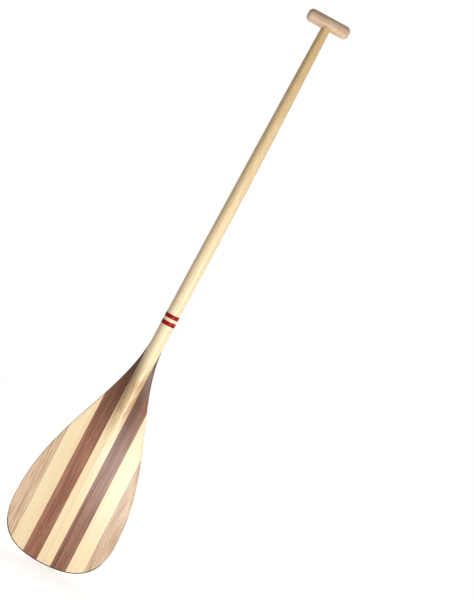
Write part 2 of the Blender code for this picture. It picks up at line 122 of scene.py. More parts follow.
# How finely the bands and the grip are made
BAND_CUTS = 3
BAND_EDGE_STEPS = 2
GRIP_SIDES = 96
GRIP_ROUNDING_STEPS = 12
GRIP_CUTS = 12
SOCKET_EDGE_STEPS = 3

# How near the tape lies to the wood
TAPE_SEAT = 0.02 * MM

# Inputs and the output of a Mix node for colours, by their numbers
MIX_SHARE = 0
MIX_FIRST = 6
MIX_SECOND = 7
MIX_RESULT = 2

# A band of a Wave texture repeats after this distance at scale 1
WAVE_PERIOD = math.tau / 20

# How the grain runs, and how boards of one wood differ from each other. The right walnut and cedar boards
# are made darker, as painted shade against the stronger light and sheen on the right
LINE_PATCH = (20 * MM, 120 * MM)
LINE_FADE = (0.3, 0.6)
WANDER_ACROSS = 30 * MM
WANDER_ALONG = 280 * MM
LINE_START = 0.35
FIBRE_HEIGHT = 0.03 * MM
BOARD_SHIFT = Vector((0.37, 0.21, 0.53))
BOARD_TWIST = math.radians(35)
PAIR_SEED = 2.3
GRIP_SEED = 9.0
LAYER_TONES = (1.0, 0.97, 1.0, 0.985, 1.0, 0.96, 1.0)
WALNUT_TONES_WITH_SHADE = (1.0, 0.8)
BASSWOOD_TONES = (1.0, 1.0)
CEDAR_TONES_WITH_SHADE = (0.97, 0.84)

# The shaft's wood, in heights: painted shade where the spine slopes down into the blade, streaked along its
# fibres, and painted shade that grows towards the grip, where the light falls off
SLOPE_SHADE_RISE = (300 * MM, 375 * MM)
SLOPE_SHADE_FALL = (500 * MM, 430 * MM)
SLOPE_SHADE_FIBRE = (2.2 * MM, 110 * MM)
SLOPE_SHADE_NOISE = (0.22, 0.70)
SLOPE_SHADE_SHARE = 0.85
GRIP_SHADE_RISE = (580 * MM, 1250 * MM)

# The painted shade on the walnut beside the spine, in heights and in distances from the middle. It is
# centred left of the middle, where the spine's shadow falls
SPINE_SHADE_RISE = (200 * MM, 460 * MM)
SPINE_SHADE_FALL = (60 * MM, 20 * MM)
SPINE_SHADE_MIDDLE = -6 * MM
SPINE_SHADE_SHARE = 0.9

# The waves in the tape, and the clouds and scratches in the resin
TAPE_WAVE = (6.0 * MM, 2.5 * MM)
TAPE_WAVE_RANGE = (0.3, 0.8)
TAPE_WAVE_SHARE = 0.35
TAPE_WAVE_TONE = 0.72
TAPE_WAVE_HEIGHT = 0.06 * MM
RESIN_CLOUD = (22 * MM, 30 * MM, 3.0)
RESIN_CLOUD_RANGE = (0.35, 0.7)
RESIN_TONES = (1.15, 0.6)
RESIN_SCRATCH = (0.5 * MM, 14 * MM)
RESIN_ROUGHNESS = (0.22, 0.42)

# The finishes: how rough each is, its gloss, the strength of its coat, and how rough the coat is
FINISH_IOR = 1.5
VARNISHED_BASSWOOD = (0.42, 0.1, 0.32, 0.18)
VARNISHED_BROWN_WOOD = (0.45, 0.1, 0.32, 0.18)
OILED_BEECH = (0.6, 0.3, 0.08, 0.4)
WRAPPED_TAPE = (0.42, 0.12, 0.04, 0.3)
CAST_RESIN = (0.3, 0.3, 0.4, 0.12)

# The stage: each lamp's place and side
KEY_PLACE = (1.15, -1.5, -0.75)
KEY_SIZE = 0.8
FRONT_PLACE = (0.36, -2.0, -0.24)
FRONT_SIZE = 0.26
LEFT_PLACE = (-0.6, -1.8, -0.75)
LEFT_SIZE = 0.8
LAMP_TARGET = (0.0, 0.0, -0.4)

# How far behind the paddle, as a share of straight behind, the world's light starts to get stronger
BEHIND_START = 0.25

# The floor: how matt it is, and how much paler the camera sees it
FLOOR_ROUGHNESS = 0.9
FLOOR_LIFT = 0.575
WHITE = (1.0, 1.0, 1.0, 1.0)

# How full a bulge is across its width: half an oval at the shaft, a soft hump where it dies out
OVAL_FULLNESS = 0.5
FADED_FULLNESS = 1.5

# The sRGB curve: a straight foot, and a power curve above it
FULL_BYTE = 255
SRGB_FOOT = 0.04045
SRGB_FOOT_SLOPE = 12.92
SRGB_OFFSET = 0.055
SRGB_POWER = 2.4


def linear(code):
    """Turn an sRGB hex value, such as "F4E0B0", into linear red, green and blue."""
    values = []
    for place in (0, 2, 4):
        share = int(code[place:place + 2], 16) / FULL_BYTE
        if share <= SRGB_FOOT:
            values.append(share / SRGB_FOOT_SLOPE)
        else:
            values.append(((share + SRGB_OFFSET) / (1 + SRGB_OFFSET)) ** SRGB_POWER)
    return tuple(values)


def length(name, description, default):
    """Return a length that a user can change."""
    return bpy.props.FloatProperty(
        name=name, description=description, default=default, unit="LENGTH", precision=4)


def turn(name, description, degrees):
    """Return an angle that a user can change."""
    return bpy.props.FloatProperty(
        name=name, description=description, default=math.radians(degrees), subtype="ANGLE")


def amount(name, description, default):
    """Return a plain number that a user can change."""
    return bpy.props.FloatProperty(name=name, description=description, default=default, precision=3)


def tint(name, description, code):
    """Return a colour that a user can change, from its sRGB hex value."""
    return bpy.props.FloatVectorProperty(
        name=name, description=description, default=linear(code), subtype="COLOR", size=3, min=0.0, max=1.0)


class PaddleLine(bpy.types.PropertyGroup):
    """The bent middle line, from the tip up to the top of the grip."""

    blade_straight: length("Blade straight", "Straight part of the line, from the tip", 392 * MM)
    lower_bend: length("Lower bend", "Length of the bend above the blade", 224 * MM)
    lower_turn: turn("Lower turn", "How far the bend above the blade turns", 14.5)
    middle_straight: length("Middle straight", "Straight part where the lower hand holds", 266 * MM)
    upper_bend: length("Upper bend", "Length of the bend below the grip", 171 * MM)
    upper_turn: turn("Upper turn", "How far the bend below the grip turns back", 5.0)
    grip_straight: length("Grip straight", "Straight part up to the top of the grip", 268 * MM)


class PaddleShaft(bpy.types.PropertyGroup):
    """The oval shaft and the boards that it is laminated from."""

    width: length("Shaft width", "Width of the oval, across the blade", 31.2 * MM)
    depth: length("Shaft depth", "Depth of the oval, front to back", 31.0 * MM)
    top_width: length("Grip end width", "Width of the oval at the grip", 20.8 * MM)
    top_depth: length("Grip end depth", "Depth of the oval at the grip", 26.4 * MM)
    taper_start: length("Taper start", "Where the taper starts, below the top", 670 * MM)
    taper_end: length("Taper end", "Where the taper ends, below the top", 30 * MM)
    layer_thickness: length("Layer thickness", "Thickness of one layer of the lamination", 4.4 * MM)
    layer_count: bpy.props.IntProperty(name="Layers", description="Layers in the shaft", default=7, min=3)


class PaddleBlade(bpy.types.PropertyGroup):
    """The blade's outline, its thickness, its spine and its strips."""

    half_width: length("Half width", "Half the blade's width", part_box("cedar_edge_strip_right")[1].x)
    widest: length("Widest height", "Height of the widest place above the tip", 110 * MM)
    neck: length("Neck height", "Height at which the blade has become the shaft", 540 * MM)
    tip_handle: length("Tip handle", "How flat the outline starts at the tip", 98 * MM)
    low_side_handle: length("Low side handle", "How full the outline is below the widest place", 66 * MM)
    high_side_handle: length("High side handle", "How full the outline is above the widest place", 173 * MM)
    neck_handle: length("Neck handle", "How slowly the outline joins the shaft", 137 * MM)
    face_offset: length("Power face offset", "From the middle line to the flat power face", 10.7 * MM)
    centre_thickness: length("Centre thickness", "Thickness along the middle of the blade", 8.2 * MM)
    tip_thickness: length("Tip thickness", "Thickness along the middle at the tip", 6.6 * MM)
    edge_thickness: length("Edge thickness", "Thickness at the edges", 4.2 * MM)
    edge_rounding: length("Edge rounding", "Width of the rounding along the edge", 2.3 * MM)
    full_thickness: length("Full thickness height", "Where the middle is full thickness", 330 * MM)
    spine_full: length("Spine full height", "Where the spine starts to sink, on the way down", 520 * MM)
    spine_end: length("Spine end height", "Where the spine has died out", 195 * MM)
    spine_foot: length("Spine foot", "Half width of the spine's foot", 22 * MM)
    back_full: length("Back full height", "Where the shaft's back starts to sink", 530 * MM)
    back_end: length("Back end height", "Where the shaft's back has died out", 366 * MM)
    back_foot: length("Back foot", "Half width of the back's foot", 17 * MM)
    wing_run: length("Wing run", "Below the neck, where the blade is fully flat", 80 * MM)
    fillet: amount("Fillet sharpness", "How sharply the spine meets the blade", 3.0)
    centre_strip: length("Centre strip", "Width of the shaft's boards in the blade", 32 * MM)
    side_strip: length("Side strips", "Width of a walnut or basswood strip", 34.5 * MM)


class PaddleTrim(bpy.types.PropertyGroup):
    """The tip guard, the two red bands and the T grip."""

    guard_height: length("Guard height", "How far the guard reaches up the power face", 54 * MM)
    guard_rim: length("Guard rim", "Width of the guard's rim on the front", 2.2 * MM)
    guard_plate: length("Guard plate", "Thickness of the guard on the power face", 2.5 * MM)
    band_width: length("Band width", "Width of one red band", 9.5 * MM)
    band_thickness: length("Band thickness", "Thickness of the tape of a band", 0.45 * MM)
    band_edge: length("Band edge", "Rounding of the tape's edges", 0.12 * MM)
    band_spacing: length("Band spacing", "From one band's bottom to the next one's", 17 * MM)
    band_above_neck: length("Band above neck", "From the neck to the lower band", 36 * MM)
    grip_length: length("Grip length", "Length of the T grip's bar", 99 * MM)
    grip_diameter: length("Grip diameter", "Diameter of the T grip's bar", 29.2 * MM)
    grip_rounding: length("Grip rounding", "Rounding of the bar's ends", 11 * MM)
    socket_depth: length("Socket depth", "Depth of the socket for the shaft's end", 15.6 * MM)
    socket_clearance: length("Socket clearance", "Glue joint round the shaft's end", 0.12 * MM)
    socket_edge: length("Socket edge", "Rounding of the socket's edge", 0.5 * MM)


class PaddleColours(bpy.types.PropertyGroup):
    """Colours of the woods, the tape and the resin."""

    basswood_pale: tint("Basswood pale", "Early growth of the basswood", "F8E3BC")
    basswood_dark: tint("Basswood dark", "Late growth of the basswood", "EACB96")
    # This colour is painted shade, for the spine's slope down into the blade
    basswood_slope_shade: tint("Basswood scarf", "Where the spine is cut across its fibres", "AE8046")
    # This colour is painted shade: the shaft is darkened and yellowed towards the grip, where the light
    # falls off
    basswood_grip_shade: tint("Basswood handled", "Where hands have darkened the shaft", "E2D4BC")
    walnut_pale: tint("Walnut pale", "Early growth of the walnut", "AE795F")
    walnut_dark: tint("Walnut dark", "Late growth and pores of the walnut", "5E3320")
    # The walnut hollow colour is painted shade, for the shade and the spine's shadow in the hollow beside
    # the spine
    walnut_spine_shade: tint("Walnut hollow", "Where the varnish lies thick beside the spine", "4A240F")
    cedar_pale: tint("Cedar pale", "Early growth of the cedar", "ECCDAC")
    cedar_dark: tint("Cedar dark", "Late growth lines of the cedar", "B08560")
    grip_pale: tint("Grip pale", "Early growth of the grip's beech", "EACBAE")
    grip_dark: tint("Grip dark", "Late growth and flecks of the grip's beech", "B78F72")
    band_red: tint("Band red", "The red tape", "9C0810")
    resin: tint("Tip resin", "The dark tip guard", "461A10")
    floor: tint("Floor", "The pale floor", "F2F2F0")


class PaddleStage(bpy.types.PropertyGroup):
    """The floor, the lamps and the camera."""

    lens: amount("Lens", "Focal length, in millimetres", 100.0)
    camera_turn: turn("Camera turn", "How far the camera stands to the left of straight ahead", 4.7)
    key_power: amount("Key power", "Power of the lamp low at the right, in watts", 52.0)
    front_power: amount("Front power", "Power of the lamp that shines back off the blade, in watts", 6.0)
    left_power: amount("Left power", "Power of the weak lamp at the left, in watts", 4.0)
    ambient: amount("Ambient", "Strength of the light from all round", 0.18)
    behind: amount("Behind", "Strength of the light from straight behind", 2.2)
    floor_size: length("Floor size", "Side of the floor", 6.0)
    floor_gap: length("Floor gap", "From the tip down to the floor", 1.0 * MM)


def smooth_rise(low, high, value):
    """Rise gently from 0 at low to 1 at high."""
    part = np.clip((value - low) / (high - low), 0.0, 1.0)
    return part * part * (3 - 2 * part)


def stretches():
    """Return the length and the turn of each stretch of the middle line, from the tip up."""
    line = bpy.context.scene.paddle_line
    return (
        (line.blade_straight, 0.0),
        (line.lower_bend, -line.lower_turn),
        (line.middle_straight, 0.0),
        (line.upper_bend, line.upper_turn),
        (line.grip_straight, 0.0),
    )


def top_height():
    """Return the height of the top of the grip."""
    return sum(stretch[0] for stretch in stretches())


def grip_centre_height():
    """Return the height of the grip bar's own middle line."""
    return top_height() - bpy.context.scene.paddle_trim.grip_diameter / 2


def shaft_end_height():
    """Return the height of the shaft's end, at the bottom of the grip's socket."""
    trim = bpy.context.scene.paddle_trim
    return top_height() - trim.grip_diameter + trim.socket_depth


def follow_line(heights, lean):
    """Go up the middle line to each height. Return y, z and the lean at each, as arrays."""
    left = np.array(heights, float)
    y = np.zeros_like(left)
    z = np.zeros_like(left)
    lean = np.full_like(left, lean)
    for run, turned in stretches():
        gone = np.minimum(left, run)
        half_turn = turned * gone / run / 2
        chord = gone * np.sinc(half_turn / math.pi)
        y += chord * np.sin(lean + half_turn)
        z += chord * np.cos(lean + half_turn)
        lean += 2 * half_turn
        left -= gone
    return y + left * np.sin(lean), z + left * np.cos(lean), lean


def bend(points):
    """Bend straight places (x, y, height) along the middle line, to where they are on the paddle."""
    line = bpy.context.scene.paddle_line
    top_y, top_z = follow_line([top_height()], 0.0)[:2]
    blade_lean = -math.atan2(top_y[0], top_z[0])
    hold = line.blade_straight + line.lower_bend + line.middle_straight / 2
    hold_y, hold_z = follow_line([hold], blade_lean)[:2]
    y, z, lean = follow_line(points[:, 2], blade_lean)
    bent = np.empty_like(points)
    bent[:, 0] = points[:, 0]
    bent[:, 1] = y - hold_y[0] + points[:, 1] * np.cos(lean)
    bent[:, 2] = z - hold_z[0] - points[:, 1] * np.sin(lean)
    return bent


def bezier(corners, shares):
    """Return the places and the directions at shares of a Bezier curve's run, as rows of two numbers."""
    start, handle_a, handle_b, end = (np.array(corner) for corner in corners)
    part = np.array(shares)[:, None]
    rest = 1 - part
    places = rest**3 * start + 3 * rest**2 * part * handle_a + 3 * rest * part**2 * handle_b + part**3 * end
    first, middle, last = handle_a - start, handle_b - handle_a, end - handle_b
    return places, rest**2 * first + 2 * rest * part * middle + part**2 * last


def outline_curves():
    """Return the two stretches of the half outline, as corners (half width, height)."""
    shaft = bpy.context.scene.paddle_shaft
    blade = bpy.context.scene.paddle_blade
    low = (
        (0.0, 0.0),
        (blade.tip_handle, 0.0),
        (blade.half_width, blade.widest - blade.low_side_handle),
        (blade.half_width, blade.widest),
    )
    high = (
        (blade.half_width, blade.widest),
        (blade.half_width, blade.widest + blade.high_side_handle),
        (shaft.width / 2, blade.neck - blade.neck_handle),
        (shaft.width / 2, blade.neck),
    )
    return low, high


def fine_outline():
    """Return many places along the half outline, for measuring distances to it."""
    shares = np.linspace(0.0, 1.0, OUTLINE_SAMPLES + 1)
    return np.concatenate([bezier(curve, shares)[0] for curve in outline_curves()])


def edge_distances(across, height, outline):
    """Return how far each place across the blade is from the outline's nearest edge."""
    runs = outline[1:] - outline[:-1]
    gaps = np.stack([across, np.full_like(across, height)], axis=1)[:, None, :] - outline[:-1]
    lengths = np.maximum((runs * runs).sum(axis=1), LEAST_SQUARED_RUN)
    along = np.clip((gaps * runs).sum(axis=2) / lengths, 0.0, 1.0)
    return np.linalg.norm(gaps - runs * along[:, :, None], axis=2).min(axis=1)


def shaft_half_size(height):
    """Return the shaft's half width and half depth at a height. Its taper quickens towards the grip."""
    shaft = bpy.context.scene.paddle_shaft
    above_start = height - (top_height() - shaft.taper_start)
    share = min(max(above_start / (shaft.taper_start - shaft.taper_end), 0.0), 1.0)
    thin = share * share
    width = shaft.width + (shaft.top_width - shaft.width) * thin
    depth = shaft.depth + (shaft.top_depth - shaft.depth) * thin
    return width / 2, depth / 2


def swell(across, half_width, left):
    """Return how high a bulge stands, from 1 on the middle line to 0 at its half width.

    Left is how much of the bulge there still is: 1 is the shaft's whole oval, 0 a hump that has died out.
    """
    share = np.minimum(across / half_width, 1.0)
    return (1 - share * share) ** (OVAL_FULLNESS * left + FADED_FULLNESS * (1 - left))


def column_places(half_width, spread):
    """Return the x of each column over the blade: close together on the spine, and round the edge."""
    blade = bpy.context.scene.paddle_blade
    rim = min(blade.edge_rounding * math.hypot(1.0, spread), LARGEST_RIM_SHARE * half_width)
    foot = min(blade.spine_foot, LARGEST_FOOT_SHARE * half_width)
    inner = half_width - rim
    over_spine = np.linspace(0.0, foot, SPINE_COLUMNS, endpoint=False)
    over_wing = np.linspace(foot, inner, WING_COLUMNS, endpoint=False)
    over_rim = inner + rim * np.sin(np.linspace(0.0, QUARTER_TURN, RIM_COLUMNS + 1))
    return np.concatenate([over_spine, over_wing, over_rim])


def shaft_section(height, grow=0.0):
    """Return x, front y and back y of each column round the oval shaft, with room added all round."""
    half_width, half_depth = shaft_half_size(height)
    angles = np.linspace(0.0, QUARTER_TURN, HALF_COLUMNS + 1)
    y = (half_depth + grow) * np.cos(angles)
    return (half_width + grow) * np.sin(angles), -y, y


def blade_section(half_width, height, spread, outline):
    """Return x, front y and back y of each column of the blade and its spine."""
    blade = bpy.context.scene.paddle_blade
    shaft_width, shaft_depth = shaft_half_size(height)
    winged = smooth_rise(blade.neck, blade.neck - blade.wing_run, height)
    edge_y = (blade.face_offset - blade.edge_thickness / 2) * winged
    front_left = 1 - smooth_rise(blade.spine_full, blade.spine_end, height)
    back_left = 1 - smooth_rise(blade.back_full, blade.back_end, height)
    spine_width = blade.spine_foot + (shaft_width - blade.spine_foot) * front_left
    back_width = blade.back_foot + (shaft_width - blade.back_foot) * back_left
    full = smooth_rise(0.0, blade.full_thickness, height)
    centre = blade.tip_thickness + (blade.centre_thickness - blade.tip_thickness) * full
    oval = half_width * np.sin(np.linspace(0.0, QUARTER_TURN, HALF_COLUMNS + 1))
    across = oval + (column_places(half_width, spread) - oval) * winged
    rim_share = np.minimum(edge_distances(across, height, outline) / blade.edge_rounding, 1.0)
    nose = winged * np.sqrt(1 - (1 - rim_share) ** 2)
    crown = np.maximum(1 - across / blade.half_width, 0.0)
    wing_front = (blade.edge_thickness / 2 + (centre - blade.edge_thickness) * crown) * nose
    wing_back = blade.edge_thickness / 2 * nose
    spine = (shaft_depth + edge_y) * front_left * swell(across, spine_width, front_left)
    back = (shaft_depth - edge_y) * back_left * swell(across, back_width, back_left)
    front_y = edge_y - (wing_front**blade.fillet + spine**blade.fillet) ** (1 / blade.fillet)
    back_y = edge_y + (wing_back**blade.fillet + back**blade.fillet) ** (1 / blade.fillet)
    return across, front_y, back_y


def whole_ring(section, height):
    """Return the places round a whole section at a height, from x, front y and back y of its half."""
    across, front_y, back_y = section
    x = np.concatenate([across, across[-2::-1], -across[1:], -across[-2:0:-1]])
    y = np.concatenate([front_y, back_y[-2::-1], back_y[1:], front_y[-2:0:-1]])
    return np.stack([x, y, np.full_like(x, height)], axis=1)


def ring_heights():
    """Return the blade's rings as (half width, height), how fast each spreads, and the shaft's heights."""
    blade = bpy.context.scene.paddle_blade
    low, high = outline_curves()
    low_places, low_ways = bezier(low, np.linspace(0.0, 1.0, TIP_RINGS + 1)[1:] ** TIP_CROWDING)
    high_places, high_ways = bezier(high, np.linspace(0.0, 1.0, SIDE_RINGS + 1)[1:])
    places = np.concatenate([low_places, high_places])
    ways = np.concatenate([low_ways, high_ways])
    spreads = np.abs(ways[:, 0]) / np.maximum(ways[:, 1], LEAST_WAY)
    above = np.linspace(blade.neck, shaft_end_height(), SHAFT_RINGS + 1)[1:]
    return places, spreads, above


def blank_rings():
    """Return the straight places of all the blank's rings, as an array of rings, points and x, y, height."""
    places, spreads, above = ring_heights()
    outline = fine_outline()
    rings = []
    for (half_width, height), spread in zip(places, spreads):
        rings.append(whole_ring(blade_section(half_width, height, spread, outline), height))
    for height in above:
        rings.append(whole_ring(shaft_section(height), height))
    return np.array(rings)


def pick(piece):
    """Select one object alone, and make it the active one."""
    bpy.ops.object.select_all(action="DESELECT")
    piece.select_set(True)
    bpy.context.view_layer.objects.active = piece


def select_edges(piece, least_rise, most_rise):
    """In edit mode, select the edges of a piece that rise more than one height and less than another."""
    bpy.ops.mesh.select_mode(type="EDGE")
    bpy.ops.mesh.select_all(action="DESELECT")
    shape = bmesh.from_edit_mesh(piece.data)
    for edge in shape.edges:
        rise = abs(edge.verts[0].co.z - edge.verts[1].co.z)
        edge.select_set(least_rise < rise < most_rise)
    bmesh.update_edit_mesh(piece.data)


def cut_rings(tube, cuts, shortest=SLICE_REACH):
    """Cut new rings across the longer edges of a tube that stands on end, one row of cuts after another."""
    pick(tube)
    bpy.ops.object.mode_set(mode="EDIT")
    for count in cuts:
        select_edges(tube, shortest, math.inf)
        bpy.ops.mesh.subdivide(number_cuts=count)
    bpy.ops.object.mode_set(mode="OBJECT")


def read_points(piece):
    """Return the places of a piece's points, as rows of x, y and z."""
    points = np.zeros(len(piece.data.vertices) * 3)
    piece.data.vertices.foreach_get("co", points)
    return points.reshape(-1, 3)


def write_points(piece, points):
    """Put a piece's points in new places."""
    piece.data.vertices.foreach_set("co", np.ascontiguousarray(points).ravel())
    piece.data.update()


def shape_tube(tube, rings):
    """Move the points of a tube, one unit high and one in radius, to the places of its rings."""
    points = read_points(tube)
    ring = np.rint((points[:, 2] + 0.5) * (len(rings) - 1)).astype(int)
    angle = np.arctan2(points[:, 0], -points[:, 1]) % math.tau
    column = np.rint(angle / math.tau * rings.shape[1]).astype(int) % rings.shape[1]
    write_points(tube, rings[ring, column])


def add_tube(name, ends, rings, cuts):
    """Add a tube through rings of places, from a cylinder with new rings cut into it."""
    bpy.ops.object.select_all(action="DESELECT")
    bpy.ops.mesh.primitive_cylinder_add(vertices=4 * HALF_COLUMNS, radius=1.0, depth=1.0, end_fill_type=ends)
    tube = bpy.context.object
    tube.name = name
    cut_rings(tube, cuts)
    shape_tube(tube, rings)
    return tube


def copy_piece(piece, name):
    """Copy a piece, with a mesh of its own."""
    pick(piece)
    bpy.ops.object.duplicate()
    copy = bpy.context.object
    copy.name = name
    return copy


def apply_modifier(piece, name, kind, **settings):
    """Give a piece a modifier with its settings, and apply it."""
    pick(piece)
    modifier = piece.modifiers.new(name, kind)
    for setting, value in settings.items():
        setattr(modifier, setting, value)
    bpy.ops.object.modifier_apply(modifier=modifier.name)


def carve(piece, cutter, operation):
    """Cut a piece with another one, or keep only what lies inside it."""
    apply_modifier(piece, "carve", "BOOLEAN", operation=operation, object=cutter)


def face_outwards(piece):
    """Turn all of a piece's faces outwards."""
    pick(piece)
    bpy.ops.object.mode_set(mode="EDIT")
    bpy.ops.mesh.select_all(action="SELECT")
    bpy.ops.mesh.normals_make_consistent(inside=False)
    bpy.ops.object.mode_set(mode="OBJECT")


def saw(board, place, away):
    """Saw a board along a plane through a place, and drop the side that the vector points to."""
    pick(board)
    bpy.ops.object.mode_set(mode="EDIT")
    bpy.ops.mesh.select_all(action="SELECT")
    bpy.ops.mesh.bisect(
        plane_co=place, plane_no=away, use_fill=True, clear_outer=True, threshold=SAW_THRESHOLD)
    bpy.ops.object.mode_set(mode="OBJECT")


def slice_flats(board):
    """Cut a board's long sawn faces across at each ring in the bends, so that they can bend with it."""
    line = bpy.context.scene.paddle_line
    places, _, above = ring_heights()
    lower_end = line.blade_straight + line.lower_bend
    upper_start = lower_end + line.middle_straight
    bends = ((line.blade_straight, lower_end), (upper_start, upper_start + line.upper_bend))
    rings = (*places[:, 1], *above)
    heights = [ring for ring in rings if any(low <= ring <= high for low, high in bends)]
    shape = bmesh.new()
    shape.from_mesh(board.data)
    faces = [face for face in shape.faces if len(face.verts) > FLAT_CORNERS]
    for height in heights:
        edges = {edge for face in faces for edge in face.edges}
        corners = {corner for face in faces for corner in face.verts}
        level = {"plane_co": (0, 0, height), "plane_no": (0, 0, 1)}
        cut = bmesh.ops.bisect_plane(shape, geom=[*faces, *edges, *corners], dist=SLICE_REACH, **level)
        kept = [item for item in cut["geom"] if isinstance(item, bmesh.types.BMFace)]
        faces = [face for face in kept if max(corner.co.z for corner in face.verts) > height + SLICE_REACH]
    shape.to_mesh(board.data)
    shape.free()


def keep_grain(piece, points):
    """Keep the places in the straight board with the mesh, for the grain to follow."""
    grain = piece.data.attributes.new("grain", "FLOAT_VECTOR", "POINT")
    grain.data.foreach_set("vector", np.ascontiguousarray(points, np.float32).ravel())


def finish_piece(piece, finish, node, body):
    """Smooth a piece, give it its finish, and let it stand for its CAD node."""
    pick(piece)
    bpy.ops.object.shade_smooth_by_angle(angle=SMOOTH_ANGLE)
    piece.data.materials.clear()
    piece.data.materials.append(finish)
    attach(piece, body)
    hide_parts(node)


def bend_piece(piece):
    """Bend a straight piece to its place, and keep its straight places for the grain."""
    points = read_points(piece)
    keep_grain(piece, points)
    write_points(piece, bend(points))


def add_node(tree, kind, inputs=(), **settings):
    """Add a node with its settings, and its inputs by name or number. An input is a value or an output."""
    item = tree.nodes.new(kind)
    for name, value in settings.items():
        setattr(item, name, value)
    for key, value in dict(inputs).items():
        if isinstance(value, bpy.types.NodeSocket):
            tree.links.new(value, item.inputs[key])
        else:
            item.inputs[key].default_value = value
    return item


def new_material(name, colour):
    """Return a new material of one colour."""
    material = bpy.data.materials.new(name)
    material.use_nodes = True
    shader_of(material).inputs["Base Color"].default_value = colour
    return material


def shader_of(material):
    """Return a material's shader."""
    return material.node_tree.nodes["Principled BSDF"]


def toned(colour, tone):
    """Return a colour made darker or paler, with its alpha."""
    return (*(min(part * tone, 1.0) for part in colour), 1.0)


def board_places(tree, shift, twist):
    """Return the places in the straight board, moved and turned so that no two boards have one pattern."""
    grain = add_node(tree, "ShaderNodeAttribute", attribute_name="grain")
    turned = {"Vector": grain.outputs["Vector"], "Location": shift, "Rotation": (0.0, 0.0, twist)}
    return add_node(tree, "ShaderNodeMapping", turned).outputs[0]


def streaks(tree, places, across, along, detail=2.0):
    """Add noise that is drawn out along the grain. Across and along are the real size of one streak."""
    inputs = {"Vector": places, "Scale": (1 / across, 1 / across, 1 / along)}
    drawn_out = add_node(tree, "ShaderNodeMapping", inputs).outputs[0]
    return add_node(tree, "ShaderNodeTexNoise", {"Vector": drawn_out, "Scale": 1.0, "Detail": detail})


def wander(tree, places, distance):
    """Let the grain wander sideways by about a distance, slowly along the board."""
    drift = streaks(tree, places, WANDER_ACROSS, WANDER_ALONG, 1.0).outputs["Color"]
    inputs = {0: drift, 1: (2 * distance, 2 * distance, 0.0), 2: places}
    return add_node(tree, "ShaderNodeVectorMath", inputs, operation="MULTIPLY_ADD").outputs[0]


def share_where(tree, share, *ranges):
    """Return a share that fades in where each value goes from low to high. Ranges are (value, low, high).

    What has faded in at one value is the most that the next one lets in, so the fades multiply.
    """
    for value, low, high in ranges:
        inputs = {"Value": value, "From Min": low, "From Max": high, "To Max": share}
        share = add_node(tree, "ShaderNodeMapRange", inputs, interpolation_type="SMOOTHSTEP").outputs[0]
    return share


def stain(material, share, colour, blend="MIX"):
    """Stain a material by a share, over the colour that it has so far."""
    tree = material.node_tree
    socket = shader_of(material).inputs["Base Color"]
    so_far = socket.links[0].from_socket if socket.is_linked else tuple(socket.default_value)
    inputs = {MIX_SHARE: share, MIX_FIRST: so_far, MIX_SECOND: colour}
    mixed = add_node(tree, "ShaderNodeMix", inputs, data_type="RGBA", blend_type=blend)
    tree.links.new(mixed.outputs[MIX_RESULT], socket)


def even_finish(material, roughness, gloss, coat, coat_roughness):
    """Set the values of a finish that are the same all over the surface."""
    shader = shader_of(material)
    shader.inputs["Roughness"].default_value = roughness
    shader.inputs["IOR"].default_value = FINISH_IOR
    shader.inputs["Specular IOR Level"].default_value = gloss
    shader.inputs["Coat Weight"].default_value = coat
    shader.inputs["Coat Roughness"].default_value = coat_roughness
    shader.inputs["Coat IOR"].default_value = FINISH_IOR


def raise_grain(material, fibres, height):
    """Let the fibres stand up from the surface a little, under the finish."""
    inputs = {"Height": fibres, "Strength": 1.0, "Distance": height}
    bump = add_node(material.node_tree, "ShaderNodeBump", inputs)
    material.node_tree.links.new(bump.outputs[0], shader_of(material).inputs["Normal"])


def wood(name, pale, dark, seed, tone, lines, marks):
    """Return a wood: growth lines, and marks drawn out along the grain, from its pale tone to its dark one.

    Lines are their real spacing, how strong they are, and how far they wander. Each mark is the real size of
    one streak across and along the grain, its detail, the range of the noise it takes, and its strength.
    """
    material = new_material(name, toned(pale, tone))
    tree = material.node_tree
    spacing, line_share, wandering = lines
    places = board_places(tree, BOARD_SHIFT * seed, BOARD_TWIST * math.cos(seed))
    places = wander(tree, places, wandering)
    inputs = {"Vector": places, "Scale": WAVE_PERIOD / spacing, "Distortion": 0.0}
    growth = add_node(
        tree, "ShaderNodeTexWave", inputs, wave_type="BANDS", bands_direction="X", wave_profile="SAW")
    patches = streaks(tree, places, *LINE_PATCH).outputs["Fac"]
    late = share_where(tree, line_share, (growth.outputs["Fac"], LINE_START, 1.0), (patches, *LINE_FADE))
    stain(material, late, toned(dark, tone))
    for across, along, detail, low, high, strength in marks:
        noise = streaks(tree, places, across, along, detail).outputs["Fac"]
        stain(material, share_where(tree, strength, (noise, low, high)), toned(dark, tone))
    # The last marks are the finest, and give the fibres their height
    raise_grain(material, noise, FIBRE_HEIGHT)
    return material


def basswood(name, seed, tone):
    """Basswood, planed and varnished: cream and almost even, with faint long shades and fine fibres."""
    colours = bpy.context.scene.paddle_colours
    lines = (8.5 * MM, 0.3, 4 * MM)
    marks = (
        (17 * MM, 380 * MM, 2.0, 0.40, 0.75, 0.45),
        (4.0 * MM, 150 * MM, 3.0, 0.45, 0.80, 0.35),
        (1.1 * MM, 45 * MM, 2.0, 0.50, 0.80, 0.25),
    )
    material = wood(name, colours.basswood_pale, colours.basswood_dark, seed, tone, lines, marks)
    even_finish(material, *VARNISHED_BASSWOOD)
    return material


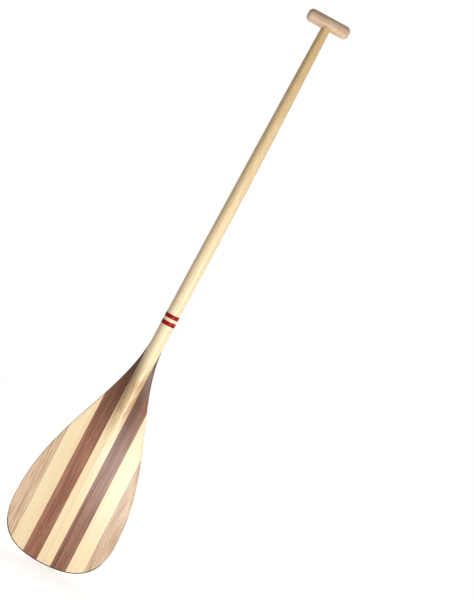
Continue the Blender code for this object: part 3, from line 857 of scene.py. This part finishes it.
def shaft_basswood(name, seed, tone):
    """Basswood in the shaft, with painted shade where the spine slopes into the blade and painted shade
    growing towards the grip.
    """
    colours = bpy.context.scene.paddle_colours
    material = basswood(name, seed, tone)
    tree = material.node_tree
    grain = add_node(tree, "ShaderNodeAttribute", attribute_name="grain").outputs["Vector"]
    height = add_node(tree, "ShaderNodeSeparateXYZ", {"Vector": grain}).outputs["Z"]
    # Painted shade where the spine slopes down into the blade, streaked along the fibres
    fibres = streaks(tree, grain, *SLOPE_SHADE_FIBRE).outputs["Fac"]
    ranges = ((height, *SLOPE_SHADE_RISE), (height, *SLOPE_SHADE_FALL), (fibres, *SLOPE_SHADE_NOISE))
    stain(material, share_where(tree, SLOPE_SHADE_SHARE, *ranges), toned(colours.basswood_slope_shade, 1.0))
    # Painted shade, growing towards the grip, where the light falls off
    inputs = {"Value": height, "From Min": GRIP_SHADE_RISE[0], "From Max": GRIP_SHADE_RISE[1]}
    grip_shade = add_node(tree, "ShaderNodeMapRange", inputs).outputs[0]
    stain(material, grip_shade, toned(colours.basswood_grip_shade, 1.0), "MULTIPLY")
    return material


def walnut(name, seed, tone):
    """Walnut, planed and varnished: warm brown, with broad dark streaks and many short open pores."""
    colours = bpy.context.scene.paddle_colours
    lines = (13 * MM, 0.4, 5 * MM)
    marks = (
        (9.0 * MM, 260 * MM, 2.0, 0.42, 0.68, 0.55),
        (3.2 * MM, 60 * MM, 3.0, 0.45, 0.75, 0.40),
        # Walnut's pores are 0.2 mm across, and are drawn 1.1 mm so that they show
        (1.1 * MM, 15 * MM, 1.0, 0.56, 0.74, 0.6),
    )
    material = wood(name, colours.walnut_pale, colours.walnut_dark, seed, tone, lines, marks)
    even_finish(material, *VARNISHED_BROWN_WOOD)
    return material


def walnut_with_spine_shade(name, seed, tone):
    """Walnut beside the spine, with painted shade in the hollow at the spine's foot, more on the left where
    the spine's shadow falls.
    """
    material = walnut(name, seed, tone)
    tree = material.node_tree
    grain = add_node(tree, "ShaderNodeAttribute", attribute_name="grain").outputs["Vector"]
    parts = add_node(tree, "ShaderNodeSeparateXYZ", {"Vector": grain})
    inputs = {0: parts.outputs["X"], 1: SPINE_SHADE_MIDDLE}
    offset = add_node(tree, "ShaderNodeMath", inputs, operation="SUBTRACT").outputs[0]
    across = add_node(tree, "ShaderNodeMath", {0: offset}, operation="ABSOLUTE").outputs[0]
    ranges = ((parts.outputs["Z"], *SPINE_SHADE_RISE), (across, *SPINE_SHADE_FALL))
    # Painted shade in the hollow beside the spine, reaching further out on the left
    hollow = toned(bpy.context.scene.paddle_colours.walnut_spine_shade, 1.0)
    stain(material, share_where(tree, SPINE_SHADE_SHARE, *ranges), hollow)
    return material


def cedar(name, seed, tone):
    """Cedar, planed and varnished: light tan, with narrow dark growth lines along the whole board."""
    colours = bpy.context.scene.paddle_colours
    lines = (5.2 * MM, 0.8, 9 * MM)
    marks = (
        (12 * MM, 200 * MM, 2.0, 0.42, 0.70, 0.40),
        (3.0 * MM, 70 * MM, 3.0, 0.48, 0.68, 0.55),
        (1.2 * MM, 26 * MM, 2.0, 0.50, 0.74, 0.40),
    )
    material = wood(name, colours.cedar_pale, colours.cedar_dark, seed, tone, lines, marks)
    even_finish(material, *VARNISHED_BROWN_WOOD)
    return material


def beech(name, seed, tone):
    """Beech, turned, sanded and oiled: pinkish tan and dull, with small darker flecks along the bar."""
    colours = bpy.context.scene.paddle_colours
    lines = (7.0 * MM, 0.3, 3 * MM)
    marks = (
        (8.0 * MM, 60 * MM, 2.0, 0.42, 0.70, 0.45),
        # A beech fleck is 0.3 mm across, and is drawn 0.9 mm so that it shows
        (0.9 * MM, 4.0 * MM, 1.0, 0.58, 0.70, 0.70),
        (0.8 * MM, 22 * MM, 2.0, 0.50, 0.80, 0.30),
    )
    material = wood(name, colours.grip_pale, colours.grip_dark, seed, tone, lines, marks)
    even_finish(material, *OILED_BEECH)
    return material


def vinyl_tape(name):
    """Red vinyl tape, wrapped once round: an even strong red with a soft gloss and slight waves."""
    red = bpy.context.scene.paddle_colours.band_red
    material = new_material(name, toned(red, 1.0))
    tree = material.node_tree
    grain = add_node(tree, "ShaderNodeAttribute", attribute_name="grain").outputs["Vector"]
    waves = streaks(tree, grain, *TAPE_WAVE).outputs["Fac"]
    share = share_where(tree, TAPE_WAVE_SHARE, (waves, *TAPE_WAVE_RANGE))
    stain(material, share, toned(red, TAPE_WAVE_TONE))
    even_finish(material, *WRAPPED_TAPE)
    raise_grain(material, waves, TAPE_WAVE_HEIGHT)
    return material


def phenolic_resin(name):
    """Dark resin, cast round the tip and sanded flush: red brown and glossy, with clouds and scratches."""
    resin = bpy.context.scene.paddle_colours.resin
    pale, dark = (toned(resin, tone) for tone in RESIN_TONES)
    material = new_material(name, pale)
    tree = material.node_tree
    grain = add_node(tree, "ShaderNodeAttribute", attribute_name="grain").outputs["Vector"]
    clouds = streaks(tree, grain, *RESIN_CLOUD).outputs["Fac"]
    stain(material, share_where(tree, 1.0, (clouds, *RESIN_CLOUD_RANGE)), dark)
    scratches = streaks(tree, grain, *RESIN_SCRATCH).outputs["Fac"]
    inputs = {"Value": scratches, "To Min": RESIN_ROUGHNESS[0], "To Max": RESIN_ROUGHNESS[1]}
    roughness = add_node(tree, "ShaderNodeMapRange", inputs).outputs[0]
    even_finish(material, *CAST_RESIN)
    tree.links.new(roughness, shader_of(material).inputs["Roughness"])
    raise_grain(material, scratches, FIBRE_HEIGHT)
    return material


class PADDLE_OT_carve_blank(bpy.types.Operator):
    """Carve the whole paddle without its grip, straight, in one piece"""

    bl_idname = "paddle.carve_blank"
    bl_label = "Carve the blank"

    def execute(self, context):
        blank = add_tube(WHOLE_BLANK, "NGON", blank_rings(), (FIRST_CUTS, SECOND_CUTS))
        face_outwards(blank)
        return {"FINISHED"}


def guard_outline(inset):
    """Return the outline round the tip, moved inwards, from one side to the other, as (x, height) rows."""
    reach = GUARD_CUTTER_REACH * bpy.context.scene.paddle_trim.guard_height
    shares = np.linspace(0.0, 1.0, GUARD_OUTLINE_STEPS + 1)[1:]
    half = []
    for curve in outline_curves():
        places, ways = bezier(curve, shares)
        inwards = np.stack([-ways[:, 1], ways[:, 0]], axis=1)
        half.append(places + inset * inwards / np.linalg.norm(inwards, axis=1)[:, None])
    half = np.concatenate(half)
    half = half[(half[:, 1] < reach) & (half[:, 0] > 0.0)]
    return np.concatenate([half[::-1] * (-1, 1), [(0.0, inset)], half])


def add_tongue(inset, lap):
    """Add the tongue of wood that the tip guard wraps: inside its rim, and in front of its plate."""
    shaft = bpy.context.scene.paddle_shaft
    outline = guard_outline(inset)
    bpy.ops.object.select_all(action="DESELECT")
    bpy.ops.mesh.primitive_circle_add(vertices=len(outline), fill_type="NGON")
    tongue = bpy.context.object
    front = np.full(len(outline), -shaft.depth)
    write_points(tongue, np.stack([outline[:, 0], front, outline[:, 1]], axis=1))
    bpy.ops.object.mode_set(mode="EDIT")
    bpy.ops.mesh.select_all(action="SELECT")
    bpy.ops.mesh.extrude_region_move(TRANSFORM_OT_translate={"value": (0.0, shaft.depth + lap, 0.0)})
    bpy.ops.object.mode_set(mode="OBJECT")
    face_outwards(tongue)
    return tongue


class PADDLE_OT_tip_guard(bpy.types.Operator):
    """Part the dark guard round the tip from the wood that it wraps"""

    bl_idname = "paddle.tip_guard"
    bl_label = "Tip guard"

    def execute(self, context):
        blade = context.scene.paddle_blade
        trim = context.scene.paddle_trim
        tongue = add_tongue(trim.guard_rim, blade.face_offset - trim.guard_plate)
        width = ROOM_SPREAD * 2 * blade.half_width
        depth = ROOM_SPREAD * context.scene.paddle_shaft.depth
        height = trim.guard_height + CUTTER_OVERRUN
        middle = (0.0, 0.0, trim.guard_height - height / 2)
        bpy.ops.object.select_all(action="DESELECT")
        bpy.ops.mesh.primitive_cube_add(size=1.0, location=middle, scale=(width, depth, height))
        room = context.object
        carve(room, tongue, "DIFFERENCE")
        blank = bpy.data.objects[WHOLE_BLANK]
        guard = copy_piece(blank, "cast_tip_guard")
        carve(guard, room, "INTERSECT")
        carve(blank, room, "DIFFERENCE")
        bpy.data.objects.remove(tongue)
        bpy.data.objects.remove(room)
        bend_piece(guard)
        finish_piece(guard, phenolic_resin("phenolic_resin"), "tip_guard", "paddle")
        return {"FINISHED"}


def finish_board(board, finish, node):
    """Bend a sawn board to its place and finish it."""
    slice_flats(board)
    bend_piece(board)
    finish_piece(board, finish, node, "paddle")


class PADDLE_OT_shaft_layers(bpy.types.Operator):
    """Saw the blank's middle into the layers of the laminated shaft"""

    bl_idname = "paddle.shaft_layers"
    bl_label = "Shaft layers"

    def execute(self, context):
        shaft = context.scene.paddle_shaft
        side = context.scene.paddle_blade.centre_strip / 2
        middle = copy_piece(bpy.data.objects[WHOLE_BLANK], "middle_boards")
        saw(middle, (side, 0.0, 0.0), (1.0, 0.0, 0.0))
        saw(middle, (-side, 0.0, 0.0), (-1.0, 0.0, 0.0))
        first = -shaft.layer_thickness * shaft.layer_count / 2
        for layer in range(shaft.layer_count):
            board = copy_piece(middle, "laminated_board_%d" % (layer + 1))
            if layer > 0:
                front = first + shaft.layer_thickness * layer
                saw(board, (0.0, front, 0.0), (0.0, -1.0, 0.0))
            if layer < shaft.layer_count - 1:
                back = first + shaft.layer_thickness * (layer + 1)
                saw(board, (0.0, back, 0.0), (0.0, 1.0, 0.0))
            tone = LAYER_TONES[layer % len(LAYER_TONES)]
            finish = shaft_basswood("basswood_layer_%d" % (layer + 1), layer + 1, tone)
            finish_board(board, finish, "shaft_layer_%d" % (layer + 1))
        bpy.data.objects.remove(middle)
        return {"FINISHED"}


def make_pair(kind, make_finish, inside, outside, tones):
    """Saw the left and the right board of one wood out of the blank, between two places from the middle."""
    for place, (side, way, tone) in enumerate(zip(("left", "right"), (-1.0, 1.0), tones)):
        board = copy_piece(bpy.data.objects[WHOLE_BLANK], "sawn_%s_%s" % (kind, side))
        saw(board, (way * inside, 0.0, 0.0), (-way, 0.0, 0.0))
        if outside:
            saw(board, (way * outside, 0.0, 0.0), (way, 0.0, 0.0))
        seed = inside / WANDER_ACROSS + PAIR_SEED * place
        finish_board(board, make_finish("%s_%s" % (kind, side), seed, tone), "%s_%s" % (kind, side))


class PADDLE_OT_walnut_strips(bpy.types.Operator):
    """Saw out the two walnut strips beside the spine"""

    bl_idname = "paddle.walnut_strips"
    bl_label = "Walnut strips"

    def execute(self, context):
        blade = context.scene.paddle_blade
        inside = blade.centre_strip / 2
        make_pair("walnut_strip", walnut_with_spine_shade, inside, inside + blade.side_strip, WALNUT_TONES_WITH_SHADE)
        return {"FINISHED"}


class PADDLE_OT_basswood_strips(bpy.types.Operator):
    """Saw out the two basswood strips"""

    bl_idname = "paddle.basswood_strips"
    bl_label = "Basswood strips"

    def execute(self, context):
        blade = context.scene.paddle_blade
        inside = blade.centre_strip / 2 + blade.side_strip
        make_pair("basswood_strip", basswood, inside, inside + blade.side_strip, BASSWOOD_TONES)
        return {"FINISHED"}


class PADDLE_OT_cedar_strips(bpy.types.Operator):
    """Saw out the two cedar strips along the edges"""

    bl_idname = "paddle.cedar_strips"
    bl_label = "Cedar edge strips"

    def execute(self, context):
        blade = context.scene.paddle_blade
        inside = blade.centre_strip / 2 + 2 * blade.side_strip
        make_pair("cedar_edge_strip", cedar, inside, None, CEDAR_TONES_WITH_SHADE)
        return {"FINISHED"}


class PADDLE_OT_bands(bpy.types.Operator):
    """Wrap the two bands of red tape round the shaft"""

    bl_idname = "paddle.bands"
    bl_label = "Red bands"

    def execute(self, context):
        trim = context.scene.paddle_trim
        finish = vinyl_tape("red_vinyl_tape")
        lowest = context.scene.paddle_blade.neck + trim.band_above_neck
        for place, name in enumerate(("lower_band", "upper_band")):
            bottom = lowest + place * trim.band_spacing
            heights = np.linspace(bottom, bottom + trim.band_width, BAND_CUTS + 2)
            rings = [whole_ring(shaft_section(height, TAPE_SEAT), height) for height in heights]
            band = add_tube("taped_" + name, "NOTHING", np.array(rings), (BAND_CUTS,))
            apply_modifier(band, "film", "SOLIDIFY", thickness=trim.band_thickness, offset=1.0)
            apply_modifier(band, "edge", "BEVEL", width=trim.band_edge, segments=BAND_EDGE_STEPS)
            bend_piece(band)
            finish_piece(band, finish, name, "paddle")
        return {"FINISHED"}


class PADDLE_OT_t_grip(bpy.types.Operator):
    """Turn the bar of the T grip, round its ends and bore the socket for the shaft's end"""

    bl_idname = "paddle.t_grip"
    bl_label = "T grip"

    def execute(self, context):
        trim = context.scene.paddle_trim
        bpy.ops.object.select_all(action="DESELECT")
        bpy.ops.mesh.primitive_cylinder_add(
            vertices=GRIP_SIDES, radius=trim.grip_diameter / 2, depth=trim.grip_length)
        grip = context.object
        grip.name = "turned_t_grip"
        bpy.ops.object.mode_set(mode="EDIT")
        select_edges(grip, -math.inf, SLICE_REACH)
        bpy.ops.mesh.bevel(offset=trim.grip_rounding, segments=GRIP_ROUNDING_STEPS, clamp_overlap=False)
        bpy.ops.object.mode_set(mode="OBJECT")
        cut_rings(grip, (GRIP_CUTS,), trim.grip_length / 2)
        half_width, half_depth = shaft_half_size(shaft_end_height())
        socket_top = shaft_end_height() - grip_centre_height()
        middle = (socket_top - trim.grip_diameter / 2, 0.0, 0.0)
        size = (half_width + trim.socket_clearance, half_depth + trim.socket_clearance, trim.grip_diameter)
        bpy.ops.object.select_all(action="DESELECT")
        bpy.ops.mesh.primitive_cylinder_add(
            vertices=GRIP_SIDES, radius=1.0, depth=1.0, location=middle, rotation=(0.0, QUARTER_TURN, 0.0),
            scale=size)
        socket = context.object
        carve(grip, socket, "DIFFERENCE")
        bpy.data.objects.remove(socket)
        apply_modifier(
            grip, "edge", "BEVEL", width=trim.socket_edge, segments=SOCKET_EDGE_STEPS, limit_method="ANGLE",
            angle_limit=SMOOTH_ANGLE)
        points = read_points(grip)
        keep_grain(grip, points)
        across = np.stack([-points[:, 2], points[:, 1], points[:, 0] + grip_centre_height()], axis=1)
        write_points(grip, bend(across))
        finish_piece(grip, beech("oiled_beech", GRIP_SEED, 1.0), "t_grip", "grip")
        return {"FINISHED"}


def aim(item, place, target):
    """Put an object in a place, with its -Z axis pointing at a target."""
    item.location = place
    item.rotation_euler = (Vector(target) - Vector(place)).to_track_quat("-Z", "Y").to_euler()


def make_world(stage):
    """Make the light from all round, stronger from behind. Seen or mirrored, it is plain white."""
    world = bpy.data.worlds.new("studio")
    bpy.context.scene.world = world
    world.use_nodes = True
    tree = world.node_tree
    path = add_node(tree, "ShaderNodeLightPath")
    seen = path.outputs["Is Camera Ray"]
    for ray in ("Is Glossy Ray", "Is Transmission Ray"):
        either = {0: seen, 1: path.outputs[ray]}
        seen = add_node(tree, "ShaderNodeMath", either, operation="MAXIMUM").outputs[0]
    way = add_node(tree, "ShaderNodeTexCoord").outputs["Generated"]
    behind = add_node(tree, "ShaderNodeSeparateXYZ", {"Vector": way}).outputs["Y"]
    inputs = {"Value": behind, "From Min": BEHIND_START, "To Min": stage.ambient, "To Max": stage.behind}
    around = add_node(tree, "ShaderNodeMapRange", inputs).outputs[0]
    strength = add_node(tree, "ShaderNodeMapRange", {"Value": seen, "To Min": around, "To Max": 1.0})
    background = tree.nodes["Background"]
    background.inputs["Color"].default_value = WHITE
    tree.links.new(strength.outputs[0], background.inputs["Strength"])


def make_floor(stage):
    """Make the pale floor under the tip."""
    bpy.ops.object.select_all(action="DESELECT")
    bpy.ops.mesh.primitive_plane_add(size=stage.floor_size, location=(0.0, 0.0, CAD_LOW.z - stage.floor_gap))
    floor = bpy.context.object
    floor.name = "studio_floor"
    material = new_material("matt_white_board", toned(bpy.context.scene.paddle_colours.floor, 1.0))
    tree = material.node_tree
    shader = shader_of(material)
    shader.inputs["Roughness"].default_value = FLOOR_ROUGHNESS
    shader.inputs["Specular IOR Level"].default_value = 0.0
    seen = add_node(tree, "ShaderNodeLightPath").outputs["Is Camera Ray"]
    strength = add_node(tree, "ShaderNodeMath", {0: seen, 1: FLOOR_LIFT}, operation="MULTIPLY").outputs[0]
    lift = add_node(tree, "ShaderNodeEmission", {"Color": WHITE, "Strength": strength})
    both = add_node(tree, "ShaderNodeAddShader", {0: shader.outputs[0], 1: lift.outputs[0]})
    tree.links.new(both.outputs[0], tree.nodes["Material Output"].inputs["Surface"])
    floor.data.materials.append(material)


def add_lamp(name, place, size, power):
    """Add a soft square lamp that looks at the blade."""
    light = bpy.data.lights.new(name, "AREA")
    light.size = size
    light.energy = power
    lamp = bpy.data.objects.new(name, light)
    bpy.context.scene.collection.objects.link(lamp)
    aim(lamp, place, LAMP_TARGET)


def make_camera(stage):
    """Put the camera in front and a little to the left, rolled so that tip and grip lie on their pixels."""
    tip = Vector(bend(np.zeros((1, 3)))[0])
    top = Vector(bend(np.array([(0.0, 0.0, top_height())]))[0])
    pixels = Vector(GRIP_TOP_PIXEL) - Vector(TIP_PIXEL)
    shown = math.hypot(*pixels)
    roll = math.atan2(pixels.x, -pixels.y)
    level = Vector((math.cos(stage.camera_turn), -math.sin(stage.camera_turn), 0.0))
    upright = Vector((0.0, 0.0, 1.0))
    back = level.cross(upright)
    right = level * math.cos(roll) + upright * math.sin(roll)
    up = upright * math.cos(roll) - level * math.sin(roll)
    scale = (top - tip).length / shown
    middle = Vector(PHOTO_SIZE) / 2
    offset = Vector(TIP_PIXEL) - middle
    view_centre = tip - right * offset.x * scale + up * offset.y * scale
    camera_data = bpy.data.cameras.new("camera")
    camera_data.lens = stage.lens
    distance = scale * max(PHOTO_SIZE) * camera_data.lens / camera_data.sensor_width
    camera = bpy.data.objects.new("camera", camera_data)
    bpy.context.scene.collection.objects.link(camera)
    turned = Matrix((right, up, back)).transposed().to_4x4()
    camera.matrix_world = Matrix.Translation(view_centre + back * distance) @ turned
    bpy.context.scene.camera = camera


class PADDLE_OT_stage(bpy.types.Operator):
    """Set up the floor, the lamps and the camera"""

    bl_idname = "paddle.stage"
    bl_label = "Stage"

    def execute(self, context):
        stage = context.scene.paddle_stage
        make_world(stage)
        make_floor(stage)
        add_lamp("key_lamp", KEY_PLACE, KEY_SIZE, stage.key_power)
        add_lamp("front_lamp", FRONT_PLACE, FRONT_SIZE, stage.front_power)
        add_lamp("left_lamp", LEFT_PLACE, LEFT_SIZE, stage.left_power)
        make_camera(stage)
        context.scene.view_settings.view_transform = "Standard"
        return {"FINISHED"}


OPERATORS = (
    PADDLE_OT_carve_blank,
    PADDLE_OT_tip_guard,
    PADDLE_OT_shaft_layers,
    PADDLE_OT_walnut_strips,
    PADDLE_OT_basswood_strips,
    PADDLE_OT_cedar_strips,
    PADDLE_OT_bands,
    PADDLE_OT_t_grip,
    PADDLE_OT_stage,
)
GROUPS = (
    ("paddle_line", PaddleLine),
    ("paddle_shaft", PaddleShaft),
    ("paddle_blade", PaddleBlade),
    ("paddle_trim", PaddleTrim),
    ("paddle_colours", PaddleColours),
    ("paddle_stage", PaddleStage),
)


class PADDLE_PT_panel(bpy.types.Panel):
    """Lists the paddle's sizes and colours, and the steps that make it"""

    bl_label = "Bent Shaft Canoe Paddle"
    bl_idname = "PADDLE_PT_panel"
    bl_space_type = "VIEW_3D"
    bl_region_type = "UI"
    bl_category = "Paddle"

    def draw(self, context):
        for name, group in GROUPS:
            box = self.layout.box()
            box.label(text=group.__doc__)
            for prop in group.__annotations__:
                box.prop(getattr(context.scene, name), prop)
        for operator in OPERATORS:
            self.layout.operator(operator.bl_idname)


def register():
    """Register the add-on's classes, and give the scene its sizes."""
    for name, group in GROUPS:
        bpy.utils.register_class(group)
        setattr(bpy.types.Scene, name, bpy.props.PointerProperty(type=group))
    for item in (*OPERATORS, PADDLE_PT_panel):
        bpy.utils.register_class(item)


def unregister():
    """Undo what register does."""
    for item in (PADDLE_PT_panel, *reversed(OPERATORS)):
        bpy.utils.unregister_class(item)
    for name, group in reversed(GROUPS):
        delattr(bpy.types.Scene, name)
        bpy.utils.unregister_class(group)


def main():
    """Make every piece and the stage."""
    register()
    bpy.ops.paddle.carve_blank()
    bpy.ops.paddle.tip_guard()
    bpy.ops.paddle.shaft_layers()
    bpy.ops.paddle.walnut_strips()
    bpy.ops.paddle.basswood_strips()
    bpy.ops.paddle.cedar_strips()
    bpy.ops.paddle.bands()
    bpy.ops.paddle.t_grip()
    bpy.ops.paddle.stage()
    bpy.data.objects.remove(bpy.data.objects[WHOLE_BLANK])


if __name__ == "__main__":
    main()
